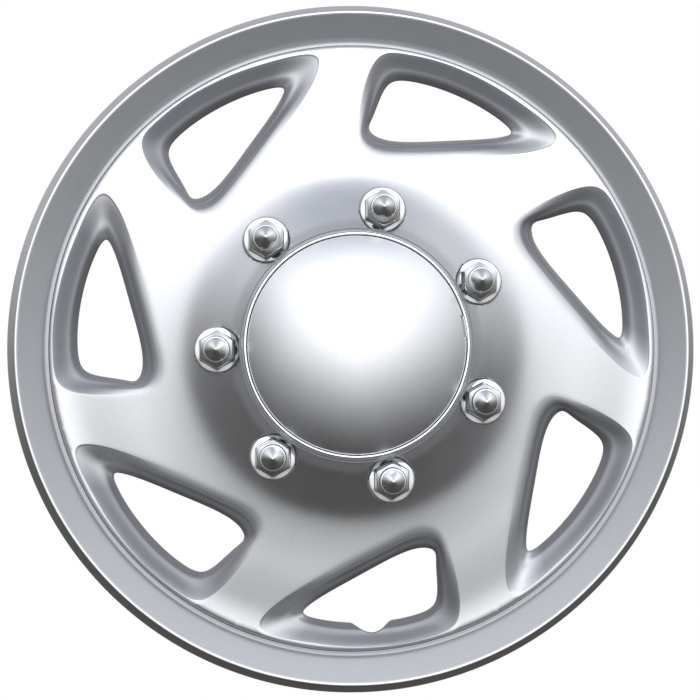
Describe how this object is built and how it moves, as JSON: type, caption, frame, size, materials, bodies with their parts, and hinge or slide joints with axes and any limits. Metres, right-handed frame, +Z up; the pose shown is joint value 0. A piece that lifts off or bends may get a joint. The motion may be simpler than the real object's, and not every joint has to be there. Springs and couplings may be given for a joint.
{
  "type": "wheel cover",
  "caption": "Silver full wheel cover with swept windows, chrome lug-nut caps, a domed snap-in centre cap, and sprung rim clips behind.",
  "frame": {"origin": "on the wheel axis, in the plane of the rear rim edge that sits on the wheel", "axes": "+Y along the wheel axis towards the wheel, so the face looks along -Y; +Z up, with the valve notch at the bottom; +X to the right seen from the front"},
  "size_m": [0.438, 0.1098, 0.438],
  "materials": {
    "silver_lacquer": "silver metallic lacquer on moulded ABS",
    "cap_lacquer": "silver metallic lacquer on moulded ABS",
    "ring_chrome": "bright chrome plate on ABS",
    "lug_chrome": "bright chrome plate on ABS",
    "push_nut_steel": "zinc-plated spring steel",
    "clip_steel": "blued spring steel strip",
    "wire_steel": "zinc-plated spring wire"
  },
  "bodies": {
    "cover": {"wheel_disc": "silver_lacquer", "lug_cap_1": "lug_chrome", "lug_cap_2": "lug_chrome", "lug_cap_3": "lug_chrome", "lug_cap_4": "lug_chrome", "lug_cap_5": "lug_chrome", "lug_cap_6": "lug_chrome", "lug_cap_7": "lug_chrome", "lug_push_nut_1": "push_nut_steel", "lug_push_nut_2": "push_nut_steel", "lug_push_nut_3": "push_nut_steel", "lug_push_nut_4": "push_nut_steel", "lug_push_nut_5": "push_nut_steel", "lug_push_nut_6": "push_nut_steel", "lug_push_nut_7": "push_nut_steel", "tension_ring": "wire_steel"},
    "cap": {"centre_cap": "cap_lacquer", "centre_cap_trim_ring": "ring_chrome"},
    "clip_1": {"retention_clip_1": "clip_steel"},
    "clip_2": {"retention_clip_2": "clip_steel"},
    "clip_3": {"retention_clip_3": "clip_steel"},
    "clip_4": {"retention_clip_4": "clip_steel"},
    "clip_5": {"retention_clip_5": "clip_steel"},
    "clip_6": {"retention_clip_6": "clip_steel"},
    "clip_7": {"retention_clip_7": "clip_steel"},
    "clip_8": {"retention_clip_8": "clip_steel"},
    "clip_9": {"retention_clip_9": "clip_steel"},
    "clip_10": {"retention_clip_10": "clip_steel"},
    "clip_11": {"retention_clip_11": "clip_steel"},
    "clip_12": {"retention_clip_12": "clip_steel"},
    "clip_13": {"retention_clip_13": "clip_steel"},
    "clip_14": {"retention_clip_14": "clip_steel"}
  },
  "joints": [
    {"name": "centre_cap_pull", "type": "slide", "parent": "cover", "child": "cap", "axis": [0, -1, 0], "range_m": [0, 0.04]},
    {"name": "clip_1_flex", "type": "hinge", "parent": "cover", "child": "clip_1", "pos_m": [0.05457, -0.00425, -0.18356], "axis": [0.9585, 0, 0.285], "range_deg": [0, 5], "stiffness_Nm_per_rad": 2, "deforming": ["tension_ring"]},
    {"name": "clip_2_flex", "type": "hinge", "parent": "cover", "child": "clip_2", "pos_m": [0.12881, -0.00425, -0.1417], "axis": [0.74, 0, 0.6726], "range_deg": [0, 5], "stiffness_Nm_per_rad": 2},
    {"name": "clip_3_flex", "type": "hinge", "parent": "cover", "child": "clip_3", "pos_m": [0.17754, -0.00425, -0.07178], "axis": [0.3748, 0, 0.9271], "range_deg": [0, 5], "stiffness_Nm_per_rad": 2},
    {"name": "clip_4_flex", "type": "hinge", "parent": "cover", "child": "clip_4", "pos_m": [0.1911, -0.00425, 0.01236], "axis": [-0.0645, 0, 0.9979], "range_deg": [0, 5], "stiffness_Nm_per_rad": 2},
    {"name": "clip_5_flex", "type": "hinge", "parent": "cover", "child": "clip_5", "pos_m": [0.16681, -0.00425, 0.09405], "axis": [-0.4911, 0, 0.8711], "range_deg": [0, 5], "stiffness_Nm_per_rad": 2},
    {"name": "clip_6_flex", "type": "hinge", "parent": "cover", "child": "clip_6", "pos_m": [0.10949, -0.00425, 0.15711], "axis": [-0.8204, 0, 0.5717], "range_deg": [0, 5], "stiffness_Nm_per_rad": 2},
    {"name": "clip_7_flex", "type": "hinge", "parent": "cover", "child": "clip_7", "pos_m": [0.03048, -0.00425, 0.18906], "axis": [-0.9873, 0, 0.1591], "range_deg": [0, 5], "stiffness_Nm_per_rad": 2},
    {"name": "clip_8_flex", "type": "hinge", "parent": "cover", "child": "clip_8", "pos_m": [-0.05457, -0.00425, 0.18356], "axis": [-0.9585, 0, -0.285], "range_deg": [0, 5], "stiffness_Nm_per_rad": 2},
    {"name": "clip_9_flex", "type": "hinge", "parent": "cover", "child": "clip_9", "pos_m": [-0.12881, -0.00425, 0.1417], "axis": [-0.74, 0, -0.6726], "range_deg": [0, 5], "stiffness_Nm_per_rad": 2},
    {"name": "clip_10_flex", "type": "hinge", "parent": "cover", "child": "clip_10", "pos_m": [-0.17754, -0.00425, 0.07178], "axis": [-0.3748, 0, -0.9271], "range_deg": [0, 5], "stiffness_Nm_per_rad": 2},
    {"name": "clip_11_flex", "type": "hinge", "parent": "cover", "child": "clip_11", "pos_m": [-0.1911, -0.00425, -0.01236], "axis": [0.0645, 0, -0.9979], "range_deg": [0, 5], "stiffness_Nm_per_rad": 2},
    {"name": "clip_12_flex", "type": "hinge", "parent": "cover", "child": "clip_12", "pos_m": [-0.16681, -0.00425, -0.09405], "axis": [0.4911, 0, -0.8711], "range_deg": [0, 5], "stiffness_Nm_per_rad": 2},
    {"name": "clip_13_flex", "type": "hinge", "parent": "cover", "child": "clip_13", "pos_m": [-0.10949, -0.00425, -0.15711], "axis": [0.8204, 0, -0.5717], "range_deg": [0, 5], "stiffness_Nm_per_rad": 2},
    {"name": "clip_14_flex", "type": "hinge", "parent": "cover", "child": "clip_14", "pos_m": [-0.03048, -0.00425, -0.18906], "axis": [0.9873, 0, -0.1591], "range_deg": [0, 5], "stiffness_Nm_per_rad": 2}
  ],
  "couplings": [
    {"joint": "clip_2_flex", "follows": "clip_1_flex", "ratio": 1},
    {"joint": "clip_3_flex", "follows": "clip_1_flex", "ratio": 1},
    {"joint": "clip_4_flex", "follows": "clip_1_flex", "ratio": 1},
    {"joint": "clip_5_flex", "follows": "clip_1_flex", "ratio": 1},
    {"joint": "clip_6_flex", "follows": "clip_1_flex", "ratio": 1},
    {"joint": "clip_7_flex", "follows": "clip_1_flex", "ratio": 1},
    {"joint": "clip_8_flex", "follows": "clip_1_flex", "ratio": 1},
    {"joint": "clip_9_flex", "follows": "clip_1_flex", "ratio": 1},
    {"joint": "clip_10_flex", "follows": "clip_1_flex", "ratio": 1},
    {"joint": "clip_11_flex", "follows": "clip_1_flex", "ratio": 1},
    {"joint": "clip_12_flex", "follows": "clip_1_flex", "ratio": 1},
    {"joint": "clip_13_flex", "follows": "clip_1_flex", "ratio": 1},
    {"joint": "clip_14_flex", "follows": "clip_1_flex", "ratio": 1}
  ]
}
